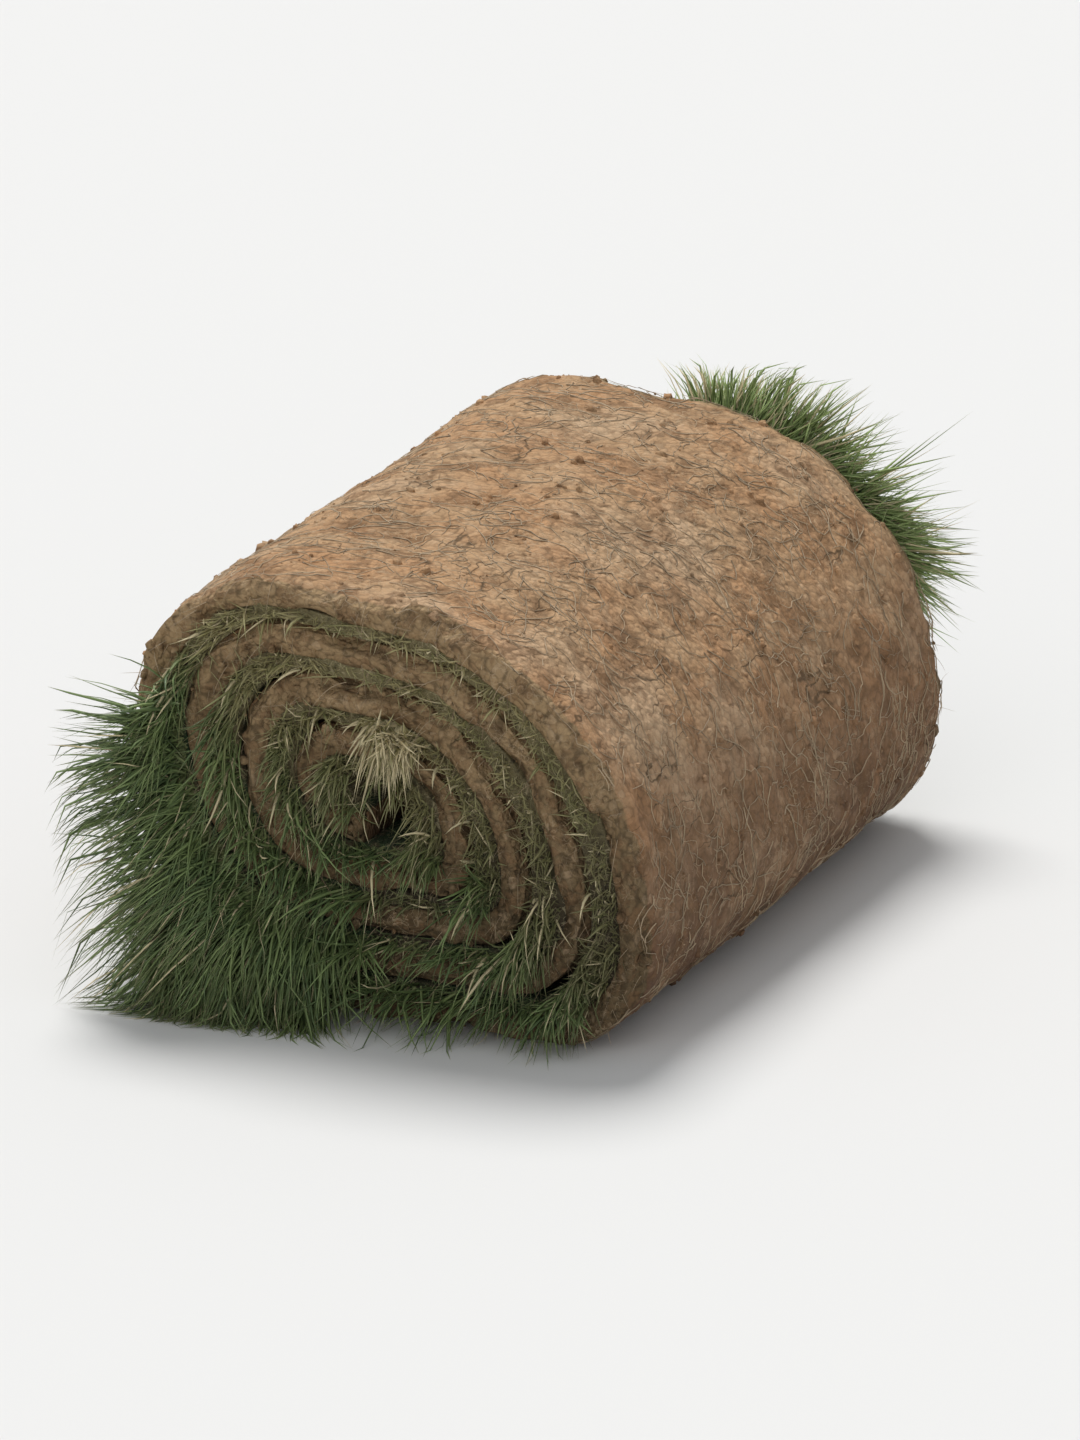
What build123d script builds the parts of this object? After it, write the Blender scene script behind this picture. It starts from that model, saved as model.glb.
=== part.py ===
from build123d import *
from math import acos, cos, degrees, pi, sin
import os

# A strip of cut turf, rolled up with its grass inside and lying on the ground. The roll has slumped under
# its own weight: it is wider than it is high, and flat where it rests. The strip's outer end lies along the
# ground under the roll.
# X runs across the roll and Y along its axis. The ground is Z = 0. Sizes are in millimetres.

# The strip, as it was cut
strip_width = 406
soil_thickness = 16

# The grass, pressed flat between two turns, and where it stands free over the strip's tip and leans out of
# the roll's side
pressed_grass = 6.4
standing_grass = 60
leaning_grass = 36
fringe = 30
grass_clearance = 0.6

# The roll. Its last half turn goes round the eye. A half turn over the right side, or the left, reaches this
# share of its height sideways.
half_turns = 8
eye_turn_height = 60.7
right_slump = 0.73
left_slump = 0.6
ground_run = 200

# Each half turn is higher than the one inside it by this much
pitch = soil_thickness + pressed_grass + grass_clearance
roll_height = eye_turn_height + (half_turns - 1) * pitch
quarter = pi / 2


def half_turn(half):
    """The steps of a half turn, counted from the outside: its flat, the tight arc of its corner and the wide
    one after it. On the right they rise from a flat foot to a sloping shoulder, and on the left they go down
    from a square shoulder to a round foot."""
    height = roll_height - half * pitch
    reach = (left_slump if half % 2 else right_slump) * height
    corner = height - reach
    return [(reach - corner, 0), (corner, quarter), (reach, quarter)]


def route(halves):
    """The soil face from where it leaves the ground, wound inwards. Each step is a length and an angle of 0
    for a straight run, or a radius and an angle for an arc."""
    steps = [step for half in range(halves) for step in half_turn(half)]
    return steps[1:]


def arc_point(start, heading, radius, angle):
    """A point of an arc that turns left from its start."""
    x = start[0] + radius * (sin(heading + angle) - sin(heading))
    z = start[1] + radius * (cos(heading) - cos(heading + angle))
    return x, z


def follow(steps, depth):
    """The start, middle and end of each step of a route, at a depth under the soil face."""
    point = (0, depth)
    heading = 0
    places = []
    for size, angle in steps:
        if angle:
            middle = arc_point(point, heading, size - depth, angle / 2)
            end = arc_point(point, heading, size - depth, angle)
        else:
            middle = None
            end = (point[0] + size * cos(heading), point[1] + size * sin(heading))
        places.append((point, middle, end))
        point = end
        heading += angle
    return places


def draw(places):
    """The lines and arcs through a route's places."""
    for start, middle, end in places:
        if middle:
            ThreePointArc(start, middle, end)
        else:
            Line(start, end)


tip_underside = (-ground_run, 0)
tip_top = (-ground_run, soil_thickness)
ground_end = (0, 0)

soil_steps = route(half_turns)
soil_face = follow(soil_steps, 0)
grass_face = follow(soil_steps, soil_thickness)

# The grass reaches the soil of the next turn inwards, and one turn more round the eye. It starts on the
# first turn's last arc, above the tip, where it stands free. A full turn is two half turns.
full_turn = 2
inner_steps = route(half_turns + full_turn)
last_arc = len(route(full_turn)) - 1
last_radius = inner_steps[last_arc][0]
wedge_angle = acos(1 - (standing_grass - pressed_grass) / last_radius)
inner_steps[last_arc:last_arc + 1] = [
    (last_radius, quarter - wedge_angle),
    (last_radius, wedge_angle),
]
next_turn = follow(inner_steps, -grass_clearance)[last_arc + 1:]
grass_top = next_turn[0][0]
leaning_side = (tip_top[0] - leaning_grass, (tip_top[1] + grass_top[1]) / 2)


def soil_section():
    """The strip's soil and roots, from the tip along the ground and round to the eye."""
    with BuildSketch(Plane.XZ) as sketch:
        with BuildLine():
            Line(tip_underside, ground_end)
            draw(soil_face)
            Line(soil_face[-1][2], grass_face[-1][2])
            draw(grass_face)
            Line(grass_face[0][0], tip_top)
            Line(tip_top, tip_underside)
        make_face()
    return sketch.sketch


def grass_section():
    """The grass between each turn and the next, and the grass that stands on the tip and leans out."""
    with BuildSketch(Plane.XZ) as sketch:
        with BuildLine():
            Line(tip_top, grass_face[0][0])
            draw(grass_face)
            Line(grass_face[-1][2], next_turn[-1][2])
            draw(next_turn)
            ThreePointArc(grass_top, leaning_side, tip_top)
        make_face()
    return sketch.sketch


soil_and_roots = extrude(soil_section(), strip_width / 2, both=True)
grass = extrude(grass_section(), strip_width / 2 + fringe, both=True)

# The origin is on the ground under the middle of the roll
across = Compound([soil_and_roots, grass]).bounding_box().center().X
os.makedirs("parts", exist_ok=True)
export_step(Pos(X=-across) * soil_and_roots, "parts/soil_and_roots.step")
export_step(Pos(X=-across) * grass, "parts/grass.step")

# The strip's length is measured along the middle of its soil
middle_depth = soil_thickness / 2
wound_length = sum((size - middle_depth) * angle if angle else size for size, angle in soil_steps)
print(
    f"strip {ground_run + wound_length:.0f} long, roll {roll_height:.1f} high; it leaves the ground at x {-across:.1f},"
    f" and its tip is at {-across - ground_run:.1f}, with grass up to {degrees(wedge_angle):.0f} degrees over it"
)
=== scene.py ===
"""A roll of cut turf, lying slumped on its side: crumbly soil and roots outside, grass pressed inside."""
import itertools
import math

import bpy
import numpy as np
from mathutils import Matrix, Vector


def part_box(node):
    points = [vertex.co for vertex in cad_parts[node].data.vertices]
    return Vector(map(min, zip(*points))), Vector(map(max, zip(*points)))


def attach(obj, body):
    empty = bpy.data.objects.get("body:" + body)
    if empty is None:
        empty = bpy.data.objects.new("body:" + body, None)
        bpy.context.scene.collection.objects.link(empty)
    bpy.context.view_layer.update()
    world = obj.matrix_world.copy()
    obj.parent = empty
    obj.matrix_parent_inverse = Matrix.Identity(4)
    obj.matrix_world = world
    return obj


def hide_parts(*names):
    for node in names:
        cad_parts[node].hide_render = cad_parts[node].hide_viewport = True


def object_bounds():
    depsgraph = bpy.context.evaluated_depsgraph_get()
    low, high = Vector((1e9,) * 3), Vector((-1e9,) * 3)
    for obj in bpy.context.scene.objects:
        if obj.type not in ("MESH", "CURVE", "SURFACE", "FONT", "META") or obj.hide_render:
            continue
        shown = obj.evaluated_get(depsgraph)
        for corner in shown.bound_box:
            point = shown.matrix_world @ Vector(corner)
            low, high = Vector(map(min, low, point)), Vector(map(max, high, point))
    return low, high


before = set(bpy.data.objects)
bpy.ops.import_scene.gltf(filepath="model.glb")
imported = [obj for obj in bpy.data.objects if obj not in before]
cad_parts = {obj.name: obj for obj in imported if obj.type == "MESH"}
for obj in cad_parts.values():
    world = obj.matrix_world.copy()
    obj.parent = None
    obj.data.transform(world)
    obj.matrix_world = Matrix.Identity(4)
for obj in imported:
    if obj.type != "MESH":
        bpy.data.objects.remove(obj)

bl_info = {
    "name": "Roll of Turf",
    "version": (1, 0, 0),
    "blender": (4, 5, 0),
    "location": "View3D > Sidebar > Turf",
    "description": "Dresses a slumped roll of turf with soil, roots, crumbs and grass",
    "category": "Object",
}

# What the roll rides on, a millimetre in metres, and a number that keeps a division from being by zero
BODY = "root"
MM = 0.001
TINY = 1e-9

# The boxes of the solids. The strip is as wide as the soil is long, and the roll as high as the soil
CAD_LOW, CAD_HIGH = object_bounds()
SOIL_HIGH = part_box("soil_and_roots")[1]
STRIP_HALF_WIDTH = SOIL_HIGH.y
ROLL_HEIGHT = SOIL_HIGH.z

# The roll's ends, by the sign of Y there
NEAR, FAR = -1, 1

# The sides of a root or a blade, how far from the strip's cut edges its corners are worn, and the height over
# the ground from which the roll is dry and has no painted shade; below it, colours darken towards the ground,
# partly for wet soil and partly as painted shade
STRAND_SIDES = 3
CORNER_REACH = 15 * MM
DRY_UNSHADED_HEIGHT = 0.19


# Settings

def length_setting(name, description, default):
    """A length, in metres."""
    return bpy.props.FloatProperty(name=name, description=description, default=default, unit="LENGTH")


def share_setting(name, description, default):
    """A share, from 0 to 1."""
    return bpy.props.FloatProperty(name=name, description=description, default=default, min=0, max=1)


def angle_setting(name, description, degrees):
    """An angle, given in degrees."""
    default = math.radians(degrees)
    return bpy.props.FloatProperty(name=name, description=description, default=default, subtype="ANGLE")


def count_setting(name, description, default):
    """How many there are of something."""
    return bpy.props.IntProperty(name=name, description=description, default=default, min=2)


def colour_setting(name, description, default):
    """A colour."""
    return bpy.props.FloatVectorProperty(name=name, description=description, default=default, subtype="COLOR")


class TurfStripSettings(bpy.types.PropertyGroup):
    """How the strip is rolled, as in the solids."""

    half_turns: count_setting("Half turns", "Half turns of the strip, from the ground to the eye", 8)
    soil_thickness: length_setting("Soil thickness", "Thickness of the mat of soil and roots", 0.016)
    pressed_grass: length_setting("Pressed grass", "Grass between two turns, over the top", 0.0064)
    clearance: length_setting("Clearance", "Gap from the grass to the next turn", 0.0006)
    right_slump: share_setting("Right slump", "Reach of a half turn to the right, by its height", 0.73)
    left_slump: share_setting("Left slump", "Reach of a half turn to the left, by its height", 0.6)
    ground_run: length_setting("Ground run", "Length of the strip that lies along the ground", 0.2)


class TurfSoilSettings(bpy.types.PropertyGroup):
    """The soil's relief, roots, crumbs and colours."""

    lumps: length_setting("Lumps", "Height of the soil's lumps", 0.0016)
    ragged_edge: length_setting("Ragged edge", "How far the cut edges wander", 0.003)
    roots: count_setting("Roots", "Fine roots on the soil face", 1900)
    edge_roots: count_setting("Edge roots", "Roots that hang at the edges", 900)
    crumbs: count_setting("Crumbs", "Crumbs of soil on the strip", 1300)
    dry: colour_setting("Dry soil", "Colour of the dry soil face", (0.53, 0.335, 0.183))
    dusty: colour_setting("Dusty soil", "Colour of its palest patches", (0.6, 0.43, 0.275))
    clay: colour_setting("Clay", "Colour of its redder patches", (0.495, 0.277, 0.138))
    # Wet soil and painted shade: the soil face darkens to this colour towards the ground
    damp_and_shade: colour_setting("Damp soil", "Colour of the soil face by the ground", (0.12, 0.066, 0.04))
    cut_edge: colour_setting("Cut edge", "Colour of the cut edges at the top", (0.385, 0.262, 0.138))
    # Wet soil and painted shade: the cut edges darken to this colour towards the ground; a darker copy is
    # painted shade between crumbs and in crack lines
    moist_and_shade: colour_setting("Moist soil", "Colour of the cut edges by the ground", (0.135, 0.095, 0.05))
    root: colour_setting("Root", "Colour of the fine roots", (0.5, 0.375, 0.24))


class TurfGrassSettings(bpy.types.PropertyGroup):
    """The grass blades and their colours."""

    end_blades: count_setting("End blades", "Long blades at each end", 5800)
    stubble: count_setting("Stubble", "Short stems at each end", 6000)
    tail_blades: count_setting("Tail blades", "Blades on the strip's tip", 5000)
    width: length_setting("Blade width", "Width of a blade at its widest", 0.0024)
    # Painted shade and light: blades and lush thatch take a green between the shaded and the lit one
    shaded_green: colour_setting("Deep green", "Colour of the shaded grass", (0.032, 0.064, 0.022))
    lit_green: colour_setting("Fresh green", "Colour of the lit grass", (0.38, 0.5, 0.19))
    mossy: colour_setting("Mossy green", "Colour of patches on the blades", (0.2, 0.24, 0.08))
    foot: colour_setting("Foot", "Colour of a blade's foot", (0.3, 0.3, 0.13))
    withered: colour_setting("Withered", "Colour of short pressed stems", (0.44, 0.37, 0.18))
    straw: colour_setting("Straw", "Colour of dead blades", (0.72, 0.62, 0.38))
    # Rot and painted shade: the thatch darkens to this colour towards the ground
    rotten_and_shade: colour_setting("Rotten", "Colour of the thatch by the ground", (0.06, 0.045, 0.024))
    shadow: colour_setting("Shadow", "Colour of the holes in the thatch", (0.02, 0.016, 0.008))


class TurfStageSettings(bpy.types.PropertyGroup):
    """The camera and the studio."""

    azimuth: angle_setting("Azimuth", "Camera's angle round the roll", 23.3)
    elevation: angle_setting("Elevation", "Camera's angle above the ground", 18.0)
    distance: length_setting("Distance", "From the camera to the roll", 5.2)
    framed_width: length_setting("Framed width", "Width of the picture at the roll", 0.56)
    floor: colour_setting("Floor", "Colour of the floor", (0.75, 0.74, 0.72))
    sky: colour_setting("Sky", "Light that falls on the roll from all round", (0.33, 0.345, 0.365))
    backdrop: colour_setting("Backdrop", "What the camera sees past the floor", (0.913, 0.913, 0.898))


# Noise

def noise(points, size, seed):
    """Smooth noise from -1 to 1: random values on a cubic grid of this size, blended between the eight
    corners of each cell with an eased share along each axis."""
    cells = 32
    table = np.random.default_rng(seed).uniform(-1, 1, (cells, cells, cells))
    place = points / size
    low = np.floor(place).astype(int)
    share = place - low
    share = share * share * (3 - 2 * share)
    total = np.zeros(points.shape[:-1])
    for corner in itertools.product((0, 1), repeat=3):
        weight = np.prod(np.where(corner, share, 1 - share), axis=-1)
        cell = (low + corner) % cells
        total += weight * table[cell[..., 0], cell[..., 1], cell[..., 2]]
    return total


def rough_noise(points, size, seed):
    """Noise summed over octaves, each half the size of the last and about half as strong."""
    octaves = 3
    keep = 0.55
    total = 0
    for octave in range(octaves):
        total = total + keep**octave * noise(points, size / 2**octave, seed + octave)
    return total


def stacked(*columns):
    """Points whose columns are given one by one, as arrays or single numbers."""
    return np.stack(np.broadcast_arrays(*columns), axis=-1)


def smooth_step(low, high, value):
    """0 below low, 1 above high, and eased between them."""
    share = np.clip((value - low) / (high - low), 0, 1)
    return share * share * (3 - 2 * share)


# The strip

class Strip:
    """The strip's soil face seen from the roll's end, as straight runs and arcs from the tip to the eye. A
    place on the strip is a length from the tip, a distance along the roll's axis and a depth under the face.
    A half turn has three steps: a run, the tight arc of a corner and the wide one after it."""

    def __init__(self, settings):
        self.soil = settings.soil_thickness
        self.pressed = settings.pressed_grass
        pitch = self.soil + self.pressed + settings.clearance
        quarter = math.pi / 2
        steps = [(settings.ground_run, 0.0)]
        full_turn = 2
        for half in range(settings.half_turns + full_turn):
            height = ROLL_HEIGHT - half * pitch
            reach = (settings.left_slump if half % 2 else settings.right_slump) * height
            corner = height - reach
            if half > 0:
                steps.append((reach - corner, 0.0))
            steps.append((corner * quarter, 1 / corner))
            steps.append((reach * quarter, 1 / reach))
        lengths, bends = np.array(steps).T
        self.ends = np.cumsum(lengths)
        self.begins = self.ends - lengths
        self.bends = bends
        self.headings = np.concatenate([[0], np.cumsum(lengths * bends)])[:-1]
        self.starts = np.zeros((len(steps), 2))
        ground_end = SOIL_HIGH.x - (1 - settings.right_slump) * ROLL_HEIGHT
        self.starts[0] = ground_end - settings.ground_run, 0
        for step in range(1, len(steps)):
            x, z, _ = self.line(self.ends[step - 1:step])
            self.starts[step] = x[0], z[0]
        self.ground_run = settings.ground_run
        self.tip_x = self.starts[0, 0]
        steps_a_half = 3
        halves_round_eye = 3
        self.foot_arc = steps_a_half * full_turn - 1
        self.outer_end = self.ends[self.foot_arc]
        self.eye = self.ends[steps_a_half * settings.half_turns - 1]
        self.over_eye = self.ends[steps_a_half * (settings.half_turns - halves_round_eye) - 1]
        self.make_gaps()

    def line(self, length):
        """Where the soil face is, and its heading, at lengths from the tip. On an arc the heading grows with
        the length, and the place is the arc's centre plus its radius turned by the heading."""
        step = np.clip(np.searchsorted(self.ends, length - TINY), 0, len(self.ends) - 1)
        local = length - self.begins[step]
        bend = self.bends[step]
        start = self.headings[step]
        heading = start + bend * local
        curved = bend > 0
        radius = 1 / np.where(curved, bend, 1.0)
        x = np.where(curved, radius * (np.sin(heading) - np.sin(start)), np.cos(start) * local)
        z = np.where(curved, radius * (np.cos(start) - np.cos(heading)), np.sin(start) * local)
        return self.starts[step, 0] + x, self.starts[step, 1] + z, heading

    def make_gaps(self):
        """The room for grass between each turn and the next. Two turns that head the same way lie apart by
        the step from one to the other, measured square to their heading."""
        sample_count = 6000
        self.samples = np.linspace(0, self.ends[-1], sample_count)
        x, z, heading = self.line(self.samples)
        rising = heading + np.arange(sample_count) * TINY
        inner = np.interp(rising + 2 * math.pi, rising, self.samples)
        inner_x, inner_z, _ = self.line(inner)
        apart = (inner_z - z) * np.cos(heading) - (inner_x - x) * np.sin(heading)
        self.sample_gaps = np.clip(apart - self.soil, self.pressed, None)
        on_ground = self.samples < self.ground_run
        wedge = self.flank(self.tip_x + self.samples) - self.soil
        self.sample_gaps[on_ground] = wedge[on_ground]

    def flank(self, x):
        """How high the roll's left side is over the ground at x: the lower arc of its first turn."""
        radius = 1 / self.bends[self.foot_arc]
        centre_x = self.starts[self.foot_arc + 1, 0]
        almost_all = 0.99
        reach = np.clip((centre_x - x) / radius, 0, almost_all)
        return self.soil + self.pressed + radius * (1 - np.sqrt(1 - reach**2))

    def gap(self, length):
        """The room for grass at lengths from the tip."""
        return np.interp(length, self.samples, self.sample_gaps)

    def at(self, length, along, depth):
        """Points at places on the strip, before the roll settles."""
        x, z, heading = self.line(length)
        return stacked(x - depth * np.sin(heading), along, z + depth * np.cos(heading))

    def outward(self, length):
        """The direction out of the soil face."""
        heading = self.line(length)[2]
        return stacked(np.sin(heading), np.zeros_like(heading), -np.cos(heading))


def bearing(points, towards):
    """Seen from the roll's end, the cosine of the angle from this direction to that of a place, both from
    the roll's middle."""
    across = points[..., 0]
    up = points[..., 2] - ROLL_HEIGHT / 2
    return (across * math.cos(towards) + up * math.sin(towards)) / (np.hypot(across, up) + TINY)


def settle(points):
    """The roll's unevenness: everything in it moves together by broad noise, along and across the roll, and
    up or down by less the nearer it is to the ground. The upper left shoulder is pushed out, the more the
    farther it is from the roll's middle. Nothing goes under the ground."""
    across, along, up = 4.5 * MM, 5 * MM, 6 * MM
    shoulder = math.radians(140)
    most_pushed = 10 * MM
    lowest = 0.2 * MM
    moved = points.copy()
    high = np.clip(points[..., 2] / ROLL_HEIGHT, 0, 1)
    moved[..., 0] += across * noise(points, size=0.17, seed=11)
    moved[..., 1] += along * noise(points, size=0.09, seed=12)
    moved[..., 2] += up * high * noise(points, size=0.15, seed=13)
    from_middle = np.hypot(points[..., 0], points[..., 2] - ROLL_HEIGHT / 2)
    pushed = smooth_step(0.72, 0.98, bearing(points, shoulder)) * smooth_step(0.03, 0.12, from_middle)
    moved[..., 0] += most_pushed * pushed * math.cos(shoulder)
    moved[..., 2] += most_pushed * pushed * math.sin(shoulder)
    moved[..., 2] = np.maximum(moved[..., 2], lowest)
    return moved


def hold_in(points):
    """Eases what reaches out of the solids' box, so that it stays within a margin round it. The reach grows
    as the margin times the hyperbolic tangent of the reach over the margin."""
    low = np.array(CAD_LOW)
    high = np.array(CAD_HIGH)
    share_of_side = 0.026
    margin = share_of_side * (high - low) + 8 * MM
    inside = np.clip(points, low, high)
    return inside + margin * np.tanh((points - inside) / margin)


# Meshes

def add_piece(name, points, face_groups, material, nodes, values=None):
    """A smooth mesh of the given points and faces, with named values on its points, that rides on the roll
    and stands for the given nodes. Each face group is an array with one face a row. Nothing goes under the
    ground."""
    lowest = 0.1 * MM
    points[:, 2] = np.maximum(points[:, 2], lowest)
    mesh = bpy.data.meshes.new(name)
    loops = np.concatenate([faces.ravel() for faces in face_groups]).astype(np.int32)
    sizes = np.concatenate([np.full(len(faces), faces.shape[1]) for faces in face_groups])
    starts = (np.cumsum(sizes) - sizes).astype(np.int32)
    mesh.vertices.add(len(points))
    mesh.vertices.foreach_set("co", points.astype(np.float32).ravel())
    mesh.loops.add(len(loops))
    mesh.loops.foreach_set("vertex_index", loops)
    mesh.polygons.add(len(sizes))
    mesh.polygons.foreach_set("loop_start", starts)
    for key, value in (values or {}).items():
        attribute = mesh.attributes.new(key, "FLOAT", "POINT")
        attribute.data.foreach_set("value", np.asarray(value, dtype=np.float32).ravel())
    mesh.update(calc_edges=True)
    mesh.validate()
    mesh.shade_smooth()
    mesh.materials.append(material)
    piece = bpy.data.objects.new(name, mesh)
    bpy.context.scene.collection.objects.link(piece)
    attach(piece, BODY)
    if nodes:
        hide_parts(*nodes)
    return piece


def unit(vectors):
    """Vectors that point the same ways, each with a length of 1."""
    return vectors / (np.linalg.norm(vectors, axis=-1, keepdims=True) + TINY**2)


def quads_round(rings):
    """Quads between rings that follow each other, from the numbers of the points round each ring."""
    ahead = np.roll(rings, -1, axis=-1)
    corners = [rings[..., :-1, :], rings[..., 1:, :], ahead[..., 1:, :], ahead[..., :-1, :]]
    return np.stack(corners, axis=-1).reshape(-1, 4)


def tube_faces(rows, columns):
    """Quads of a closed tube of rows, each with this many points round it, and of its two ends. An end is
    filled between the points of one half of its row and those facing them in the other half."""
    index = np.arange(rows * columns).reshape(rows, columns)
    half = np.arange(columns // 2 - 1)
    facing = columns - 1 - half
    first = np.stack([index[0][half], index[0][half + 1], index[0][facing - 1], index[0][facing]], axis=-1)
    last = np.stack([index[-1][half], index[-1][facing], index[-1][facing - 1], index[-1][half + 1]], axis=-1)
    return [np.concatenate([quads_round(index), first, last])]


def strand_mesh(paths, up, half_width, half_depth):
    """Closed strands along paths, an array of strands by points. A strand's section is a triangle inside an
    ellipse, half_width across and half_depth along up, and it tapers to a point at the path's end."""
    count, steps, _ = paths.shape
    along = unit(np.gradient(paths, axis=1))
    across = unit(np.cross(along, up[:, None, :]))
    out = np.cross(across, along)
    angle = 2 * math.pi * np.arange(STRAND_SIDES) / STRAND_SIDES + math.pi / 2
    ring = (
        paths[:, :-1, None, :]
        + across[:, :-1, None, :] * (half_width[:, :-1, None] * np.cos(angle))[..., None]
        + out[:, :-1, None, :] * (half_depth[:, :-1, None] * np.sin(angle))[..., None]
    )
    rings = steps - 1
    index = np.arange(count * rings * STRAND_SIDES).reshape(count, rings, STRAND_SIDES)
    tips = count * rings * STRAND_SIDES + np.arange(count)
    tip_index = np.repeat(tips, STRAND_SIDES).reshape(count, STRAND_SIDES)
    cones = np.stack([index[:, -1], tip_index, np.roll(index[:, -1], -1, axis=-1)], axis=-1).reshape(-1, 3)
    points = np.concatenate([ring.reshape(-1, 3), paths[:, -1]])
    return points, [quads_round(index)[:, ::-1], cones[:, ::-1], index[:, 0]]


def strand_values(values, steps):
    """One value for each strand, repeated for each of its points."""
    return np.concatenate([np.repeat(values, (steps - 1) * STRAND_SIDES), values])


def strand_shares(count, steps):
    """How far along its strand each point is, from 0 to 1."""
    share = np.repeat(np.linspace(0, 1, steps)[:-1], STRAND_SIDES)
    return np.concatenate([np.tile(share, count), np.ones(count)])


def crumb_mesh(centres, radii, seed):
    """Closed lumps: a ball of rings between two poles, each point pushed in or out at random."""
    rings, sides = 3, 6
    draw = np.random.default_rng(seed)
    count = len(centres)
    polar = math.pi * (1 + np.arange(rings)) / (rings + 1)
    turn = 2 * math.pi * np.arange(sides) / sides
    ball = stacked(
        np.sin(polar)[:, None] * np.cos(turn), np.sin(polar)[:, None] * np.sin(turn), np.cos(polar)[:, None]
    ).reshape(-1, 3)
    ball = np.concatenate([ball, [[0, 0, 1], [0, 0, -1]]])
    stretch = draw.uniform(0.7, 1.25, (count, 1, 3))
    bumps = draw.uniform(0.72, 1.2, (count, len(ball), 1))
    points = centres[:, None] + ball * stretch * bumps * radii[:, None, None]
    grid = np.arange(rings * sides).reshape(rings, sides)
    ahead = np.roll(grid, -1, axis=1)
    top = np.stack([np.full(sides, rings * sides), grid[0], ahead[0]], axis=-1)
    bottom = np.stack([np.full(sides, rings * sides + 1), ahead[-1], grid[-1]], axis=-1)
    shift = (np.arange(count) * len(ball))[:, None, None]
    quads = (quads_round(grid) + shift).reshape(-1, 4)
    poles = (np.concatenate([top, bottom]) + shift).reshape(-1, 3)
    return points.reshape(-1, 3), [quads, poles]


# Soil

def half_profile(face_points, edge_points, thickness, crowding):
    """One half of the strip's section, round its soil face: half of one cut edge, the face, and half of the
    other. Crowding above 1 draws the face's points towards its edges."""
    share = np.linspace(-1, 1, face_points)
    face = np.sign(share) * (1 - (1 - np.abs(share)) ** crowding)
    down = (thickness / 2) * (1 - (np.arange(edge_points) + 0.5) / edge_points)
    along = np.concatenate([np.full(edge_points, -1.0), face, np.full(edge_points, 1.0)])
    depth = np.concatenate([down, np.zeros(face_points), down[::-1]])
    return along * STRIP_HALF_WIDTH, depth


def section_grid(lengths, profile, thickness):
    """The length, distance along and depth of the points round the whole section at each of these lengths:
    the half profile, and the other half back under it."""
    along, depth = profile
    along = np.concatenate([along, along[::-1]])
    depth = np.concatenate([depth, (thickness - depth)[::-1]])
    return np.broadcast_arrays(lengths[:, None], along, depth)


def nearness(along, reach):
    """0 this far or farther from the strip's cut edges, and eased to 1 at them."""
    return smooth_step(STRIP_HALF_WIDTH - reach, STRIP_HALF_WIDTH, np.abs(along))


def soil_relief(length, along, settings):
    """How far the soil face stands out at a place: broad lumps, clods and crumbs of noise, less pits."""
    clods = 0.62
    pit_depth = 1.1 * MM
    place = stacked(length, along, np.zeros_like(length))
    relief = settings.lumps * noise(place, size=0.048, seed=21)
    relief += settings.lumps * clods * rough_noise(place, size=0.019, seed=24)
    return relief - pit_depth * smooth_step(0.35, 0.75, noise(place, size=0.011, seed=28))


def corner_drop(length, along):
    """How far the soil face is worn down at a place by its cut edges: by the square of the nearness, and most
    where noise breaks the corner."""
    worn, broken = 1.6 * MM, 3.6 * MM
    breaks = smooth_step(0.1, 0.7, rough_noise(stacked(length, along, 0 * along), size=0.03, seed=37))
    return (worn + broken * breaks) * nearness(along, CORNER_REACH) ** 2


def edge_wander(length, depth, side, settings):
    """How far a cut edge stands out at a place, with bites where clods broke off."""
    bite_depth = 5 * MM
    place = stacked(length, depth * 1.6, 0.3 * side)
    wander = settings.ragged_edge * rough_noise(place, size=0.022, seed=31)
    return wander - bite_depth * smooth_step(0.3, 0.7, noise(place, size=0.03, seed=35))


def soil_points(strip, lengths, profile, settings):
    """The skin of a stretch of the strip: its section carried along the route, with the face's relief, the
    edges' wander and rounded corners. The section's middle stands out past its corners by the bulge."""
    bulge = 2.5 * MM
    cut_reach = 14 * MM
    length, along, depth = section_grid(lengths, profile, strip.soil)
    side = np.sign(along)
    near_edge = nearness(along, CORNER_REACH)
    middle = np.clip(1 - np.abs(depth / strip.soil * 2 - 1), 0, 1)
    wander = edge_wander(length, depth, side, settings) * near_edge
    on_face = smooth_step(0.5, 0.0, depth / strip.soil)
    relief = soil_relief(length, along, settings) * on_face
    drop = corner_drop(length, along) * on_face
    outward = bulge * near_edge * (middle - 1) + wander
    points = strip.at(length, along + side * outward, depth - relief + drop)
    return settle(points), nearness(along, cut_reach), relief / settings.lumps


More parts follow.
